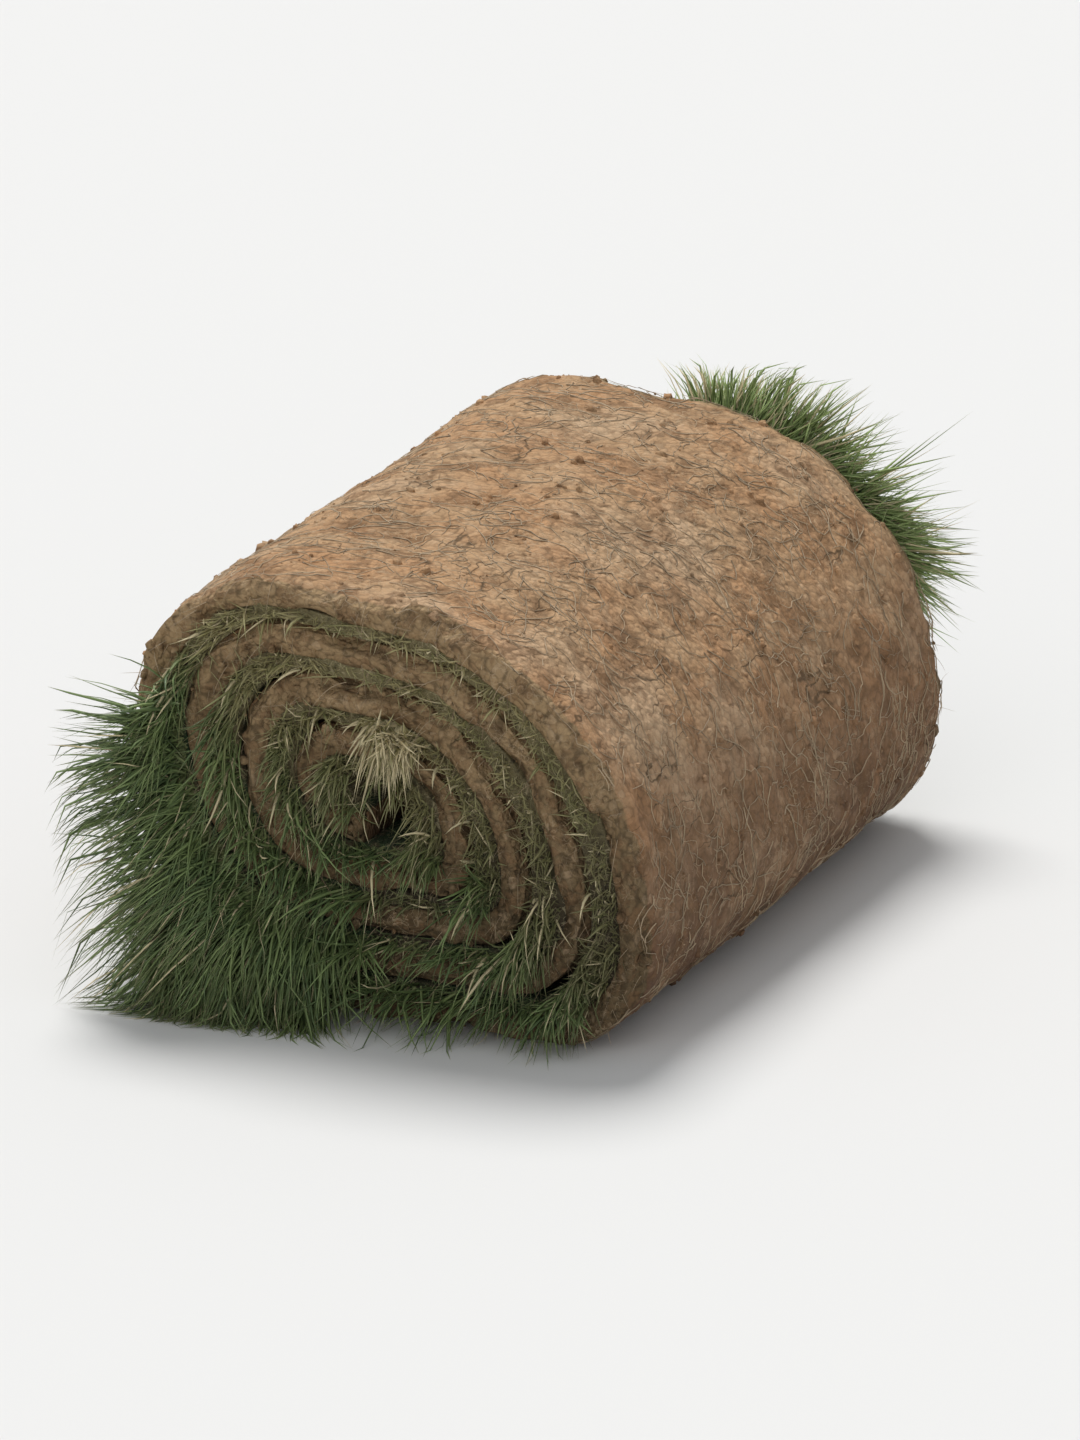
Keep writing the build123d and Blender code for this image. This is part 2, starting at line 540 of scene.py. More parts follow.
class TURF_OT_soil(bpy.types.Operator):
    """Make the strip's soil and roots: the outer turn, the tail under it and the inner turns"""

    bl_idname = "turf.soil"
    bl_label = "Soil and Roots"

    def execute(self, context):
        scene = context.scene
        strip = Strip(scene.turf_strip)
        settings = scene.turf_soil
        material = soil_material(settings)
        hidden_seam = 0.12
        fine = half_profile(face_points=122, edge_points=5, thickness=strip.soil, crowding=1.15)
        coarse = half_profile(face_points=26, edge_points=6, thickness=strip.soil, crowding=3.0)
        stretches = {
            "soil_tail": (0, hidden_seam, 42, fine),
            "soil_outer_turn": (hidden_seam, strip.outer_end, 335, fine),
            "soil_inner_turns": (strip.outer_end, strip.eye, 400, coarse),
        }
        for name, (begin, end, rows, profile) in stretches.items():
            points, cut, tone = soil_points(strip, np.linspace(begin, end, rows), profile, settings)
            add_piece(
                name, points.reshape(-1, 3), tube_faces(*cut.shape), material, ["soil_and_roots"],
                {"cut": cut, "relief": tone},
            )
        return {"FINISHED"}


def surface_places(draw, strip, count):
    """Places spread at random over the part of the outer turn that shows."""
    begin = strip.ground_run * 0.95
    hidden = 0.15
    margin = 4 * MM
    length = draw.uniform(begin, strip.outer_end - hidden, count)
    along = draw.uniform(-1, 1, count) * (STRIP_HALF_WIDTH - margin)
    return length, along


class TURF_OT_roots(bpy.types.Operator):
    """Lay fine roots over the soil face and let some hang from the cut edges"""

    bl_idname = "turf.roots"
    bl_label = "Roots"

    def execute(self, context):
        scene = context.scene
        strip = Strip(scene.turf_strip)
        settings = scene.turf_soil
        material = root_material(settings)
        draw = np.random.default_rng(41)
        self.face_roots(strip, settings, material, draw)
        self.edge_roots(strip, settings, material, draw)
        return {"FINISHED"}

    def face_roots(self, strip, settings, material, draw):
        """Roots that wander over the face: a heading that turns at random, summed along the root. Each lies
        on the relief or a little over it."""
        count, steps = settings.roots, 8
        length, along = surface_places(draw, strip, count)
        size = draw.uniform(9, 42, count) * MM
        start = draw.uniform(0, 2 * math.pi, (count, 1))
        heading = start + np.cumsum(draw.normal(0, 0.5, (count, steps)), axis=1)
        step = (size / (steps - 1))[:, None]
        root_length = length[:, None] + np.cumsum(np.cos(heading) * step, axis=1)
        root_along = along[:, None] + np.cumsum(np.sin(heading) * step, axis=1)
        limit = STRIP_HALF_WIDTH - 2 * MM
        root_along = np.clip(root_along, -limit, limit)
        thick = draw.uniform(0.16, 0.42, count) * MM
        lift = thick[:, None] * 0.3 + draw.uniform(-0.3, 0.9, (count, steps)) * 0.5 * MM
        depth = corner_drop(root_length, root_along) - soil_relief(root_length, root_along, settings) - lift
        paths = settle(strip.at(root_length, root_along, depth))
        self.add_roots("face_roots", paths, strip.outward(length), thick, 2, material, draw)

    def edge_roots(self, strip, settings, material, draw):
        """Roots that stick out of the cut edges. They droop by the square of the share of their length."""
        count, steps = settings.edge_roots, 6
        hidden = 6 * MM
        length = draw.uniform(0, strip.eye, count)
        side = draw.choice([NEAR, FAR], count)
        depth = draw.uniform(0.1, 0.9, count) * strip.soil
        size = (draw.uniform(5, 20, count) * MM)[:, None]
        share = np.linspace(0, 1, steps)
        sway = draw.normal(0, 0.55, (count, 2))
        along = side[:, None] * (STRIP_HALF_WIDTH - hidden + size * share * 0.9)
        root_length = length[:, None] + size * sway[:, :1] * share
        root_depth = depth[:, None] + size * sway[:, 1:] * share**2 * 0.6
        points = strip.at(root_length, along, root_depth)
        points[..., 2] -= size * 0.45 * share**2
        up = np.tile([0.0, 0.0, 1.0], (count, 1))
        thick = draw.uniform(0.12, 0.3, count) * MM
        self.add_roots("edge_roots", settle(points), up, thick, 1, material, draw)

    def add_roots(self, name, paths, up, thick, power, material, draw):
        """Roots along paths, thinner towards their tips by this power of the share of their length, each with
        a shade of its own."""
        count, steps, _ = paths.shape
        thinner = 0.6
        width = thick[:, None] * (1 - thinner * np.linspace(0, 1, steps) ** power)
        points, faces = strand_mesh(paths, up, width, width)
        shade = strand_values(draw.uniform(0, 1, count), steps)
        add_piece(name, points, faces, material, [], {"shade": shade})


class TURF_OT_crumbs(bpy.types.Operator):
    """Scatter crumbs and clods of soil over the soil face and its cut edges"""

    bl_idname = "turf.crumbs"
    bl_label = "Crumbs"

    def execute(self, context):
        scene = context.scene
        strip = Strip(scene.turf_strip)
        settings = scene.turf_soil
        draw = np.random.default_rng(51)
        count = settings.crumbs
        share_on_edges = 0.55
        sunk = 1 * MM
        length, along = surface_places(draw, strip, count)
        smallest, spread, rarity = 0.7, 2.8, 2.5
        radius = (smallest + spread * draw.uniform(0, 1, count) ** rarity) * MM
        depth = corner_drop(length, along) - soil_relief(length, along, settings) + radius * 0.2
        on_edge = draw.uniform(0, 1, count) < share_on_edges
        side = draw.choice([NEAR, FAR], count)
        edge_length = draw.uniform(0, strip.eye, count)
        edge_depth = draw.uniform(0.12, 0.88, count) * strip.soil
        edge_along = side * (STRIP_HALF_WIDTH + edge_wander(edge_length, edge_depth, side, settings) - sunk)
        centres = settle(strip.at(
            np.where(on_edge, edge_length, length), np.where(on_edge, edge_along, along),
            np.where(on_edge, edge_depth, depth),
        ))
        centres[:, 2] = np.maximum(centres[:, 2], radius)
        points, faces = crumb_mesh(centres, radius, 52)
        values = {"cut": np.repeat(on_edge * 1.0, len(points) // count), "relief": np.ones(len(points))}
        add_piece("crumbs", points, faces, soil_material(settings), [], values)
        return {"FINISHED"}


# Grass

class TURF_OT_thatch(bpy.types.Operator):
    """Fill the room between the turns with the matted foot of the grass"""

    bl_idname = "turf.thatch"
    bl_label = "Thatch"

    def execute(self, context):
        scene = context.scene
        strip = Strip(scene.turf_strip)
        thin_tip = 30 * MM
        sunk = 1 * MM
        swelling = 13 * MM
        ragged, set_back = 2.5 * MM, 5 * MM
        lengths = np.linspace(2 * MM, strip.eye, 620)
        profile = half_profile(face_points=14, edge_points=4, thickness=1.0, crowding=3.0)
        length, along, share = section_grid(lengths, profile, thickness=1.0)
        gap = strip.gap(length) * smooth_step(0, thin_tip, length) ** 0.5
        inside = smooth_step(STRIP_HALF_WIDTH - 22 * MM, STRIP_HALF_WIDTH - 60 * MM, np.abs(along))
        gap = gap + swelling * inside * smooth_step(strip.eye - 0.13, strip.eye - 0.07, length)
        side = np.sign(along)
        place = stacked(length, share * gap, side * 0.2)
        wander = ragged * rough_noise(place, size=0.012, seed=61) - set_back
        outward = side * wander * nearness(along, CORNER_REACH)
        points = strip.at(length, along + outward, strip.soil - sunk + share * (gap + sunk))
        lush = np.where(along < 0, lushness(points, NEAR), lushness(points, FAR))
        add_piece(
            "thatch", settle(points).reshape(-1, 3), tube_faces(*length.shape),
            thatch_material(scene.turf_grass), ["grass"], {"lush": lush},
        )
        return {"FINISHED"}


def blade_paths(strip, length, along, depth, reach, droop, steps):
    """Blades from places on the strip. Reach is how far each goes the strip's way there, along the roll's
    axis and inwards. The first grows evenly, the second ever more slowly and the third by the square of the
    share of the blade's length. Droop moves it in space, by that square too."""
    share = np.linspace(0, 1, steps)[:, None]
    heading = strip.line(length)[2]
    ahead = stacked(np.cos(heading), 0.0, np.sin(heading))[:, None]
    inward = stacked(-np.sin(heading), 0.0, np.cos(heading))[:, None]
    points = strip.at(length, along, depth)[:, None] + ahead * reach[:, None, :1] * share
    points = points + [0.0, 1.0, 0.0] * reach[:, None, 1:2] * (1.25 * share - 0.25 * share**2)
    points = points + inward * reach[:, None, 2:] * share**2 + droop[:, None] * share**2
    return hold_in(settle(points))


def blade_piece(name, paths, up, width, light_and_age, lush, material):
    """Blades along paths: narrow at the foot, widest a quarter of the way up, and tapered to the tip by a
    power of the share of their length."""
    count, steps, _ = paths.shape
    thickness = 0.22
    share = np.linspace(0, 1, steps)
    taper = np.minimum(0.65 + 1.4 * share, 1) * (1 - share**2.2)
    half_width = 0.5 * width[:, None] * taper
    points, faces = strand_mesh(paths, up, half_width, half_width * thickness)
    values = {
        "light_and_age": strand_values(light_and_age, steps),
        "lush": strand_values(lush, steps),
        "along": strand_shares(count, steps),
    }
    add_piece(name, points, faces, material, ["grass"], values)


def any_way(draw, count):
    """Directions spread evenly over all ways."""
    return unit(draw.normal(0, 1, (count, 3)))


def clump(points, side):
    """Where the outermost grass pushes out in a thick clump and flares over the soil's edge: on the near
    end's left, and on the far end's upper right."""
    towards = math.radians(203 if side == NEAR else 52)
    return smooth_step(0.56, 0.9, bearing(points, towards))


def lushness(points, side):
    """How much grass pushes out of an end of the roll at a place: most at the near end's foot and on its
    left, but for a bare patch below the eye, and in the far end's clump."""
    leftwards, downwards, half_way_up = 0.45, 0.85, 0.105
    bare_x, bare_z, bare_share = 0.012, 0.062, 0.8
    least_far = 0.35
    leaning = -leftwards * points[..., 0] - downwards * (points[..., 2] - half_way_up)
    patchy = 0.035 * noise(points, size=0.035, seed=75)
    near = smooth_step(-0.035, 0.055, leaning + patchy)
    bare = smooth_step(0.032, 0.014, np.hypot(points[..., 0] - bare_x, points[..., 2] - bare_z))
    far = least_far + (1 - least_far) * clump(points, side)
    return np.where(side == NEAR, near * (1 - bare_share * bare), far)


class TURF_OT_end_grass(bpy.types.Operator):
    """Grow the grass that is pressed out between the turns at both ends of the roll"""

    bl_idname = "turf.end_grass"
    bl_label = "Grass at the Ends"

    def execute(self, context):
        scene = context.scene
        strip = Strip(scene.turf_strip)
        settings = scene.turf_grass
        material = blade_material(settings)
        for name, side, seed in (("near_end", NEAR, 71), ("far_end", FAR, 72)):
            draw = np.random.default_rng(seed)
            self.make_blades(name + "_grass", side, draw, strip, settings, material)
            self.make_stubble(name + "_stubble", side, draw, strip, settings, material)
        return {"FINISHED"}

    def make_blades(self, name, side, draw, strip, settings, material):
        """Blades with their feet in the thatch, near one end. They lie along the strip and out of the end.
        Those of the clump are longer and wider and flare over the soil's edge, and on the far end they also
        curl back over it. Those of the tuft by the eye are mostly dead. Neighbours sway alike."""
        count, steps = settings.end_blades, 5
        clump_crowding, least_flare, curl = (2, 0.15, 0.0) if side == NEAR else (11, 0.5, 0.4)
        least_crowding, tuft_crowding = 0.06, 6
        deepest_foot = 18
        longer_in_clump, longer_in_tuft = 30, 5
        neighbours = 0.022
        single_sway, shared_sway, most_sway = 0.32, 0.55, 0.9
        single_rise, tuft_rise, shared_rise = 0.2, 0.25, 0.35
        single_droop, most_droop = 0.16, 0.35
        points = strip.at(strip.samples, side * STRIP_HALF_WIDTH, strip.soil + strip.sample_gaps / 2)
        clumped = (strip.samples < strip.outer_end) * clump(points, side)
        crowding = least_crowding + lushness(points, side) + clump_crowding * clumped
        crowding = crowding + tuft_crowding * self.by_eye(strip, strip.samples, side)
        length, depth = self.places(draw, strip, count, crowding)
        flare = np.interp(length, strip.samples, clumped)
        tuft = self.by_eye(strip, length, side)
        apart = np.maximum(flare, tuft)
        foot = STRIP_HALF_WIDTH - draw.uniform(0, deepest_foot, count) * (1 - 0.55 * apart) * MM
        flare *= draw.uniform(least_flare, 1, count)
        points = strip.at(length, foot, depth)
        lush = lushness(points, side)
        size = draw.uniform(10, 20, count) + draw.uniform(6, 32, count) * lush
        size += longer_in_clump * flare + longer_in_tuft * tuft
        size *= MM * (1 + 0.3 * noise(points, size=0.014, seed=76))
        sway = draw.normal(0, single_sway, count) + shared_sway * noise(points, neighbours, seed=77)
        sway = np.clip(sway, -most_sway, most_sway)
        outward = np.sqrt(np.clip(1 - 0.5 * sway**2, 0.25, 1)) * (1 - 0.35 * flare)
        rise = draw.normal(0, single_rise + tuft_rise * tuft, count)
        rise += shared_rise * noise(points, neighbours, seed=78) - 0.85 * flare + 0.15 * tuft
        reach = stacked(sway * size, side * size * outward, rise * size)
        droop = draw.normal(0, single_droop, (count, 3))
        droop = np.clip(droop, -most_droop, most_droop) * size[:, None]
        droop[:, 1] = 0.3 * droop[:, 1] - curl * flare * size
        droop[:, 2] -= size * draw.uniform(0.15, 0.65, count) * (1 - 0.2 * flare)
        paths = blade_paths(strip, length, side * foot, depth, reach, droop, steps)
        width = draw.uniform(0.5, 1.1, count) * (1 + 0.35 * np.maximum(flare, tuft)) * settings.width
        # Painted light: how near a living blade's green may come to the lit one; the far end's clump gets the
        # lit green
        most_lit = 0.42
        often_dead = 0.04 + 0.1 * (1 - lush) + 0.62 * tuft
        if side == FAR:
            most_lit = 0.4 + 0.6 * smooth_step(0, 0.4, flare)
            often_dead += 0.14 * flare
        dead = draw.uniform(0, 1, count) < often_dead
        living = np.minimum(draw.uniform(0.35, 1, count) * most_lit, 0.76)
        light_and_age = np.where(dead, draw.uniform(0.9, 1, count), living)
        blade_piece(name, paths, any_way(draw, count), width, light_and_age, lush, material)

    def by_eye(self, strip, length, side):
        """Where the last turn but one goes over the roll's eye. A tuft of dead grass hangs there on the near
        end."""
        before = strip.over_eye - length
        return (side == NEAR) * smooth_step(0.052, 0.034, before) * smooth_step(0.0, 0.016, before)

    def make_stubble(self, name, side, draw, strip, settings, material):
        """Short stems that cover the thatch between the turns, green where the end is lush and withered
        elsewhere."""
        count, steps = settings.stubble, 3
        share_dead = 0.06
        length, depth = self.places(draw, strip, count, np.ones(len(strip.samples)))
        foot = STRIP_HALF_WIDTH - draw.uniform(2, 12, count) * MM
        lush = lushness(strip.at(length, foot, depth), side) * draw.uniform(0.3, 1, count)
        size = draw.uniform(6, 15, count) * MM
        lean = draw.normal(0, 0.6, (count, 2)) * size[:, None]
        reach = stacked(lean[:, 0], side * size * 0.8, lean[:, 1] * 0.5)
        droop = draw.normal(0, 0.2, (count, 3)) * size[:, None]
        paths = blade_paths(strip, length, side * foot, depth, reach, droop, steps)
        width = settings.width * draw.uniform(0.35, 0.75, count)
        dead = draw.uniform(0, 1, count) < share_dead
        # Living stems are painted mostly in the shaded green
        light_and_age = np.where(dead, 0.95, draw.uniform(0.1, 0.4, count))
        blade_piece(name, paths, any_way(draw, count), width, light_and_age, lush, material)

    def places(self, draw, strip, count, crowding):
        """Lengths and depths of the blades' feet, spread over the room for grass by its crowding."""
        widest = 20 * MM
        room = np.cumsum(np.minimum(strip.sample_gaps, widest) * (strip.samples < strip.eye) * crowding)
        length = np.interp(draw.uniform(0, room[-1], count), room, strip.samples)
        depth = strip.soil + strip.gap(length) * draw.uniform(0.06, 0.94, count)
        return length, depth


class TURF_OT_tail_grass(bpy.types.Operator):
    """Grow the grass on the strip's tip, under the roll's side. A blade rises and falls as a thrown thing
    does, goes back by a power of the share of its length, and stays under the roll's flank"""

    bl_idname = "turf.tail_grass"
    bl_label = "Grass on the Tail"

    def execute(self, context):
        scene = context.scene
        strip = Strip(scene.turf_strip)
        settings = scene.turf_grass
        draw = np.random.default_rng(81)
        count, steps = settings.tail_blades, 6
        grown = 42 * MM
        lowest = 1 * MM
        splayed = 30 * MM
        share_dead = 0.1
        length = grown * draw.uniform(0, 1, count) ** 1.4
        along = draw.uniform(-1, 1, count) * (STRIP_HALF_WIDTH - 2 * MM)
        size = draw.uniform(30, 74, count) * MM
        lift = size * draw.uniform(0.35, 1.0, count)
        back = size * draw.uniform(0.35, 0.95, count)
        sideways = size * draw.normal(0, 0.3, count)
        sideways += np.sign(along) * nearness(along, splayed) * size * draw.uniform(0, 0.6, count)
        fall = draw.uniform(0.3, 1.5, count)
        share = np.linspace(0, 1, steps)
        x = strip.tip_x + length[:, None] - back[:, None] * share**1.5
        y = along[:, None] + sideways[:, None] * share
        z = strip.soil + lift[:, None] * (2 * share - (1 + fall[:, None]) * share**2)
        z = np.minimum(z, strip.flank(x) - lowest)
        paths = hold_in(settle(stacked(x, y, np.maximum(z, lowest))))
        up = unit(draw.normal(0, 0.5, (count, 3)) + [0, 0, 1])
        width = settings.width * draw.uniform(0.55, 1.15, count)
        dead = draw.uniform(0, 1, count) < share_dead
        # Living blades are painted between the shaded and the lit green
        light_and_age = np.where(dead, draw.uniform(0.9, 1, count), draw.uniform(0.05, 0.55, count))
        blade_piece("tail_grass", paths, up, width, light_and_age, np.ones(count), blade_material(settings))
        return {"FINISHED"}


# Materials

class Nodes:
    """Short calls that add nodes to a tree and join them. A value is a socket, a number or a colour."""

    def __init__(self, tree):
        self.tree = tree

    def add(self, kind, **settings):
        """A node of this kind, with these settings."""
        node = self.tree.nodes.new(kind)
        for key, value in settings.items():
            setattr(node, key, value)
        return node

    def join(self, source, target):
        """Feed one socket from another."""
        self.tree.links.new(source, target)

    def fill(self, sockets, values):
        """Feed each named socket from another, or give it a plain number or colour."""
        for key, value in values.items():
            if isinstance(value, bpy.types.NodeSocket):
                self.join(value, sockets[key])
            elif isinstance(value, (int, float)):
                sockets[key].default_value = value
            else:
                sockets[key].default_value = (*value, 1.0)

    def math(self, operation, first, second=0.0):
        """An operation on two numbers."""
        node = self.add("ShaderNodeMath", operation=operation)
        self.fill(node.inputs, {0: first, 1: second})
        return node.outputs[0]

    def times(self, first, second):
        """A product."""
        return self.math("MULTIPLY", first, second)

    def plus(self, first, second):
        """A sum."""
        return self.math("ADD", first, second)

    def most(self, *values):
        """The highest of some numbers."""
        highest = values[0]
        for value in values[1:]:
            highest = self.math("MAXIMUM", highest, value)
        return highest

    def mix(self, share, first, second):
        """Two colours, blended by a share."""
        node = self.add("ShaderNodeMix", data_type="RGBA")
        self.fill(node.inputs, {0: share, 6: first, 7: second})
        return node.outputs[2]

    def noise(self, place, scale, detail=4.0, rough=0.6, warp=0.0):
        """Fractal noise about 0.5, with this many waves a metre, octaves, roughness and distortion."""
        node = self.add("ShaderNodeTexNoise")
        self.fill(node.inputs, {
            "Vector": place, "Scale": scale, "Detail": detail, "Roughness": rough, "Distortion": warp,
        })
        return node.outputs[0]

    def ease(self, value, low, high, to_low=0.0, to_high=1.0):
        """A value eased from the range between low and high into the one between to_low and to_high."""
        node = self.add("ShaderNodeMapRange", interpolation_type="SMOOTHSTEP")
        self.fill(node.inputs, {
            "Value": value, "From Min": low, "From Max": high, "To Min": to_low, "To Max": to_high,
        })
        return node.outputs[0]

    def crossing(self, value, width, full):
        """Thin bands where noise crosses its middle value, this wide, and full within the second width."""
        away = self.math("ABSOLUTE", self.math("SUBTRACT", value, 0.5))
        return self.ease(away, width, full)

    def attribute(self, name):
        """A value kept on the mesh's points."""
        return self.add("ShaderNodeAttribute", attribute_name=name).outputs["Fac"]

    def height(self, place, low, high):
        """0 below the low height over the ground and 1 above the high one, or the other way round."""
        parts = self.add("ShaderNodeSeparateXYZ")
        self.join(place, parts.inputs[0])
        return self.ease(parts.outputs["Z"], low, high)

    def scaled(self, place, scale):
        """A place stretched along its axes."""
        node = self.add("ShaderNodeMapping")
        node.inputs["Scale"].default_value = scale
        self.join(place, node.inputs["Vector"])
        return node.outputs["Vector"]

    def bent(self, place, scale, amount):
        """A place moved to and fro by noise."""
        drift = self.add("ShaderNodeTexNoise")
        self.fill(drift.inputs, {"Vector": place, "Scale": scale})
        node = self.add("ShaderNodeVectorMath", operation="MULTIPLY_ADD")
        node.inputs[1].default_value = (amount, amount, amount)
        self.fill(node.inputs, {0: drift.outputs["Color"], 2: place})
        return node.outputs["Vector"]

    def cells(self, place, scale):
        """Cells scattered at random. Its outputs are the distance in each and a random colour for each."""
        node = self.add("ShaderNodeTexVoronoi")
        self.fill(node.inputs, {"Vector": place, "Scale": scale})
        return node.outputs

    def bump(self, height, strength, distance):
        """A normal from a height."""
        node = self.add("ShaderNodeBump")
        self.fill(node.inputs, {"Height": height, "Strength": strength, "Distance": distance})
        return node.outputs["Normal"]

    def group(self, group, place):
        """A shared group, read at a place."""
        node = self.add("ShaderNodeGroup", node_tree=group)
        self.join(place, node.inputs["Place"])
        return node.outputs


def new_material(name):
    """A material with its shader, its node helper and the object's own coordinates."""
    material = bpy.data.materials.new(name)
    material.use_nodes = True
    nodes = Nodes(material.node_tree)
    shader = material.node_tree.nodes["Principled BSDF"]
    place = nodes.add("ShaderNodeTexCoord").outputs["Object"]
    return material, nodes, shader, place


def new_group(name, outputs):
    """An empty node group that reads a place and puts out these values, and its node helper."""
    group = bpy.data.node_groups.new(name, "ShaderNodeTree")
    group.interface.new_socket("Place", in_out="INPUT", socket_type="NodeSocketVector")
    for output in outputs:
        group.interface.new_socket(output, in_out="OUTPUT", socket_type="NodeSocketFloat")
    nodes = Nodes(group)
    return group, nodes, nodes.add("NodeGroupInput").outputs["Place"]


def darker(colour, share):
    """A colour with this share of its brightness."""
    return tuple(share * channel for channel in colour)


def earth_group():
    """A node group of crumbly earth: broad patches, and crumbs of two sizes, each with a tone of its own, a
    round top and painted shade in the gap round it."""
    name = "Crumbly Earth"
    if name in bpy.data.node_groups:
        return bpy.data.node_groups[name]
    group, nodes, place = new_group(name, ("Patches", "Tone", "GapShade", "Height"))
    patches = nodes.ease(nodes.noise(place, 22, 4, 0.6), 0.38, 0.64)
    bent = nodes.bent(place, 90, 0.008)
    fine = nodes.cells(bent, 250)
    coarse = nodes.cells(bent, 95)
    clods = nodes.ease(nodes.noise(place, 45, 3, 0.6), 0.46, 0.58)
    tone = nodes.plus(fine["Color"], nodes.times(clods, coarse["Color"]))
    # Painted shade: darker towards the border of each crumb, in the gap round it
    fine_gap_shade = nodes.ease(fine["Distance"], 0.45, 0.85)
    coarse_gap_shade = nodes.ease(coarse["Distance"], 0.5, 0.9)
    gap_shade = nodes.most(fine_gap_shade, nodes.times(clods, coarse_gap_shade))
    fine_tops = nodes.ease(fine["Distance"], 0.7, 0.0)
    coarse_tops = nodes.times(nodes.ease(coarse["Distance"], 0.75, 0.0), clods)
    coarse_height, grit_height = 2.2, 0.7
    grit = nodes.times(nodes.noise(place, 900, 2, 0.7), grit_height)
    height = nodes.plus(nodes.plus(nodes.times(coarse_tops, coarse_height), fine_tops), grit)
    outputs = nodes.add("NodeGroupOutput").inputs
    nodes.fill(outputs, {"Patches": patches, "Tone": tone, "GapShade": gap_shade, "Height": height})
    return group


def fibre_group():
    """A node group of fine fibres: three layers of thin bands along the middle value of warped noise."""
    name = "Fine Fibres"
    if name in bpy.data.node_groups:
        return bpy.data.node_groups[name]
    group, nodes, place = new_group(name, ("Fibres",))
    layers = []
    for scale, width in ((75, 0.011), (140, 0.014), (55, 0.006)):
        layers.append(nodes.crossing(nodes.noise(place, scale, 1.5, 0.5, 1.2), width, width * 0.25))
    nodes.fill(nodes.add("NodeGroupOutput").inputs, {"Fibres": nodes.most(*layers)})
    return group


def soil_material(settings):
    """Dry tan soil with redder and paler patches and darker specks; painted shade in crack lines where it is
    bent, in its pits and between its crumbs; a foot that darkens towards the ground, partly wet soil and
    partly painted shade; darker cut edges, which also darken towards the ground, partly wet and partly
    painted shade; and a net of roots."""
    name = "Soil"
    if name in bpy.data.materials:
        return bpy.data.materials[name]
    material, nodes, shader, place = new_material(name)
    earth = nodes.group(earth_group(), place)
    fibres = nodes.group(fibre_group(), place)["Fibres"]
    # A darker clay for random tone and specks, which also paints shade in the pits; below, a near black for
    # painted shade between crumbs and in crack lines
    dark_clay_and_pit_shade = darker(settings.clay, 0.42)
    gap = darker(settings.moist_and_shade, 0.3)
    wander = nodes.times(nodes.noise(place, 120, 3, 0.6), 0.9)
    cut = nodes.ease(nodes.plus(nodes.attribute("cut"), wander), 1.02, 1.2)
    face = nodes.mix(earth["Patches"], settings.dry, settings.clay)
    dust = nodes.ease(nodes.noise(place, 13, 3, 0.5), 0.48, 0.66, 0.0, 0.5)
    face = nodes.mix(dust, face, settings.dusty)
    # Painted shade in the pits, where the relief is low
    face = nodes.mix(nodes.ease(nodes.attribute("relief"), 0.0, -1.6, 0.0, 0.5), face, dark_clay_and_pit_shade)
    # The face darkens towards the ground, partly wet soil and partly painted shade
    patchy = nodes.ease(nodes.noise(place, 35, 2), 0.25, 0.6, 0.6, 1.0)
    face = nodes.mix(nodes.times(nodes.height(place, DRY_UNSHADED_HEIGHT, 0.02), patchy), face, settings.damp_and_shade)
    # The cut edges darken towards the ground, partly wet soil and partly painted shade
    edge = nodes.mix(nodes.height(place, DRY_UNSHADED_HEIGHT, 0.04), settings.cut_edge, settings.moist_and_shade)
    colour = nodes.mix(cut, face, edge)
    colour = nodes.mix(nodes.ease(earth["Tone"], 0.55, 1.2, 0.0, 0.55), colour, dark_clay_and_pit_shade)
    colour = nodes.mix(nodes.ease(earth["Tone"], 0.4, 0.1, 0.0, 0.3), colour, settings.dusty)
    specks = nodes.ease(nodes.noise(place, 170, 3, 0.7), 0.5, 0.7, 0.0, 0.35)
    colour = nodes.mix(specks, colour, dark_clay_and_pit_shade)
    # Painted shade between crumbs, stronger on the cut edges
    colour = nodes.mix(nodes.times(earth["GapShade"], nodes.ease(cut, 0.0, 1.0, 0.35, 0.6)), colour, gap)
    # Painted shade in thin crack lines where the soil is bent, here and there on the face
    bends = nodes.noise(nodes.scaled(nodes.bent(place, 60, 0.012), (1.0, 0.22, 1.0)), 42, 2, 0.5)
    here_and_there = nodes.ease(nodes.noise(place, 19, 2, 0.5, 0.3), 0.5, 0.6, 0.0, 0.7)
    crack_shade = nodes.times(nodes.crossing(bends, 0.012, 0.002), here_and_there)
    colour = nodes.mix(nodes.times(crack_shade, nodes.ease(cut, 1.0, 0.0)), colour, gap)
    rooted = nodes.ease(nodes.noise(place, 30, 2), 0.4, 0.65, 0.0, 0.5)
    colour = nodes.mix(nodes.times(fibres, rooted), colour, settings.root)
    height = nodes.times(earth["Height"], nodes.ease(nodes.attribute("cut"), 0.3, 1.0, 0.65, 1.0))
    nodes.fill(shader.inputs, {
        "Base Color": colour, "Normal": nodes.bump(height, 1.0, 0.0014), "Roughness": 0.95,
        "Specular IOR Level": 0.2,
    })
    return material


def root_material(settings):
    """Fine roots, from pale straw to brown."""
    material, nodes, shader, place = new_material("Root")
    stained = nodes.ease(nodes.noise(place, 300), 0.3, 0.7, 0.5, 1.0)
    share = nodes.times(nodes.attribute("shade"), stained)
    nodes.fill(shader.inputs, {
        "Base Color": nodes.mix(share, settings.root, darker(settings.root, 0.45)),
        "Normal": nodes.bump(nodes.noise(place, 900), 0.3, 0.0002), "Roughness": 0.8,
    })
    return material


